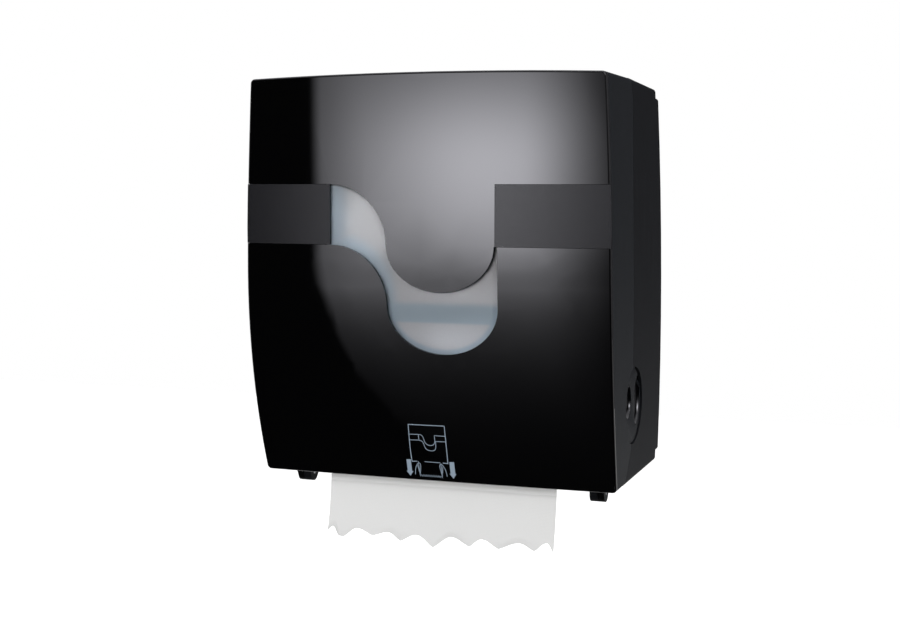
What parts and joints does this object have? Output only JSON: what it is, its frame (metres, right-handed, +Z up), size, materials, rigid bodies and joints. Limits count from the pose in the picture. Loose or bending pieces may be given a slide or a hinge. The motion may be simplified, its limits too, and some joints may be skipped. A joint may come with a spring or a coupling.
{
  "type": "wall-mounted roll towel dispenser",
  "caption": "Wall-mounted mechanical roll towel dispenser: hinged bowed cover with a wave window over a spring-assisted cutting drum, hand wheel and sprung roll arms.",
  "frame": {"origin": "centre of the four wall screws' pattern on the wall face of the base", "axes": "+Z up, +Y towards the wall, +X to the user's right"},
  "size_m": [0.331, 0.221, 0.4178],
  "materials": {
    "gloss_black": "high gloss, bowed",
    "matte_case": "fine matte moulding grain",
    "band_grey": "matte band",
    "frosted": "frosted translucent, pale blue-grey",
    "lock_metal": "plated",
    "steel": "bright steel",
    "chassis": "grey moulding",
    "guard_grey": "light grey moulding",
    "drum_plastic": "dark moulding",
    "grip": "grippy rubber",
    "wheel_black": "satin moulding with glossy scoops",
    "white_acetal": "smooth acetal",
    "alloy": "extruded",
    "paper": "embossed towel paper",
    "cardboard": "spiral-wound board"
  },
  "bodies": {
    "case": {"rear_base": "matte_case", "hinge_pins": "steel", "side_frame_right": "chassis", "side_frame_left": "chassis", "frame_screws": "steel", "drum_guard": "guard_grey", "lower_chute": "guard_grey", "spring_cover": "chassis", "drive_cover": "chassis", "booster_spring": "steel", "pawl_pin": "steel", "pawl_spring": "steel", "bush_right": "white_acetal", "bush_left": "white_acetal", "cam_ring_right": "white_acetal", "cam_ring_left": "white_acetal", "pinch_spring_right": "steel", "pinch_spring_left": "steel", "arm_bracket_right": "chassis", "arm_bracket_left": "chassis", "arm_spring_right": "steel", "arm_spring_left": "steel", "arm_pins": "steel", "paper_web": "paper"},
    "cover": {"cover_frame": "matte_case", "upper_panel": "gloss_black", "lower_panel": "gloss_black", "band_left": "band_grey", "band_right": "band_grey", "window": "frosted", "lock_housing": "lock_metal"},
    "lock": {"lock_rotor": "lock_metal", "lock_cam": "steel", "lock_screw": "steel"},
    "drum": {"drum_shell": "drum_plastic", "grip_bands": "grip", "drum_shaft": "steel", "hand_wheel": "wheel_black", "ratchet_wheel": "white_acetal", "crank_disc": "white_acetal", "drum_end_right": "drum_plastic", "drum_end_left": "drum_plastic"},
    "knife": {"knife_carrier": "alloy", "knife_blade": "steel", "cam_arm_right": "steel", "cam_arm_left": "steel"},
    "follower_right": {"cam_roller_right": "white_acetal"},
    "follower_left": {"cam_roller_left": "white_acetal"},
    "pawl_lever": {"pawl": "white_acetal"},
    "pinch_carriage": {"pinch_arm_right": "chassis", "pinch_arm_left": "chassis", "pinch_shaft": "steel"},
    "pinch": {"pinch_roller": "grip"},
    "holder_right": {"roll_arm_right": "chassis"},
    "holder_left": {"roll_arm_left": "chassis"},
    "hub_right": {"roll_hub_right": "guard_grey"},
    "hub_left": {"roll_hub_left": "guard_grey"},
    "towel_roll": {"paper_roll": "paper", "roll_core": "cardboard"},
    "tail": {"towel_tail": "paper"}
  },
  "joints": [
    {"name": "cover_hinge", "type": "hinge", "parent": "case", "child": "cover", "pos_m": [0, -0.1477, -0.188], "axis": [1, 0, 0], "range_deg": [0, 90]},
    {"name": "lock_turn", "type": "hinge", "parent": "cover", "child": "lock", "pos_m": [0, -0.148, 0.165], "axis": [0, 0, -1], "range_deg": [0, 90]},
    {"name": "drum_spin", "type": "hinge", "parent": "case", "child": "drum", "pos_m": [0, -0.123, -0.1135], "axis": [1, 0, 0], "continuous": true, "deforming": ["booster_spring"]},
    {"name": "knife_swing", "type": "hinge", "parent": "drum", "child": "knife", "pos_m": [0, -0.111, -0.1315], "axis": [1, 0, 0], "range_deg": [-26, 0], "stiffness_Nm_per_rad": 0.1, "springref_deg": 28.65},
    {"name": "follower_spin_right", "type": "hinge", "parent": "knife", "child": "follower_right", "pos_m": [0.111, -0.13107, -0.14052], "axis": [1, 0, 0], "continuous": true},
    {"name": "follower_spin_left", "type": "hinge", "parent": "knife", "child": "follower_left", "pos_m": [-0.111, -0.13107, -0.14052], "axis": [1, 0, 0], "continuous": true},
    {"name": "pinch_lift", "type": "hinge", "parent": "case", "child": "pinch_carriage", "pos_m": [0, -0.118, -0.06], "axis": [-1, 0, 0], "range_deg": [0, 4], "stiffness_Nm_per_rad": 5, "springref_deg": -5.73, "deforming": ["pinch_spring_right", "pinch_spring_left"]},
    {"name": "pinch_roll", "type": "hinge", "parent": "pinch_carriage", "child": "pinch", "pos_m": [0, -0.16107, -0.07122], "axis": [1, 0, 0], "continuous": true},
    {"name": "pawl_lift", "type": "hinge", "parent": "case", "child": "pawl_lever", "pos_m": [0.1225, -0.097, -0.0905], "axis": [-1, 0, 0], "range_deg": [-6, 4], "stiffness_Nm_per_rad": 0.02, "deforming": ["pawl_spring"]},
    {"name": "holder_swing_right", "type": "hinge", "parent": "case", "child": "holder_right", "pos_m": [0.1175, -0.012, 0.056], "axis": [0, 0, 1], "range_deg": [0, 12], "stiffness_Nm_per_rad": 1, "springref_deg": -17.19, "deforming": ["arm_spring_right"]},
    {"name": "holder_swing_left", "type": "hinge", "parent": "case", "child": "holder_left", "pos_m": [-0.1175, -0.012, 0.056], "axis": [0, 0, -1], "range_deg": [0, 12], "stiffness_Nm_per_rad": 1, "springref_deg": -17.19, "deforming": ["arm_spring_left"]},
    {"name": "hub_spin_right", "type": "hinge", "parent": "holder_right", "child": "hub_right", "pos_m": [0.1, -0.113, 0.056], "axis": [1, 0, 0], "continuous": true},
    {"name": "hub_spin_left", "type": "hinge", "parent": "holder_left", "child": "hub_left", "pos_m": [-0.1, -0.113, 0.056], "axis": [1, 0, 0], "continuous": true},
    {"name": "roll_spin", "type": "hinge", "parent": "case", "child": "towel_roll", "pos_m": [0, -0.113, 0.056], "axis": [1, 0, 0], "continuous": true},
    {"name": "tail_swing", "type": "hinge", "parent": "case", "child": "tail", "pos_m": [0, -0.16745, -0.172], "axis": [1, 0, 0], "range_deg": [0, 20]}
  ],
  "couplings": [
    {"joint": "roll_spin", "follows": "drum_spin", "ratio": -0.5},
    {"joint": "hub_spin_right", "follows": "drum_spin", "ratio": -0.5},
    {"joint": "hub_spin_left", "follows": "drum_spin", "ratio": -0.5},
    {"joint": "pinch_roll", "follows": "drum_spin", "ratio": -3.6667},
    {"joint": "tail_swing", "follows": "cover_hinge", "ratio": 0.2}
  ]
}
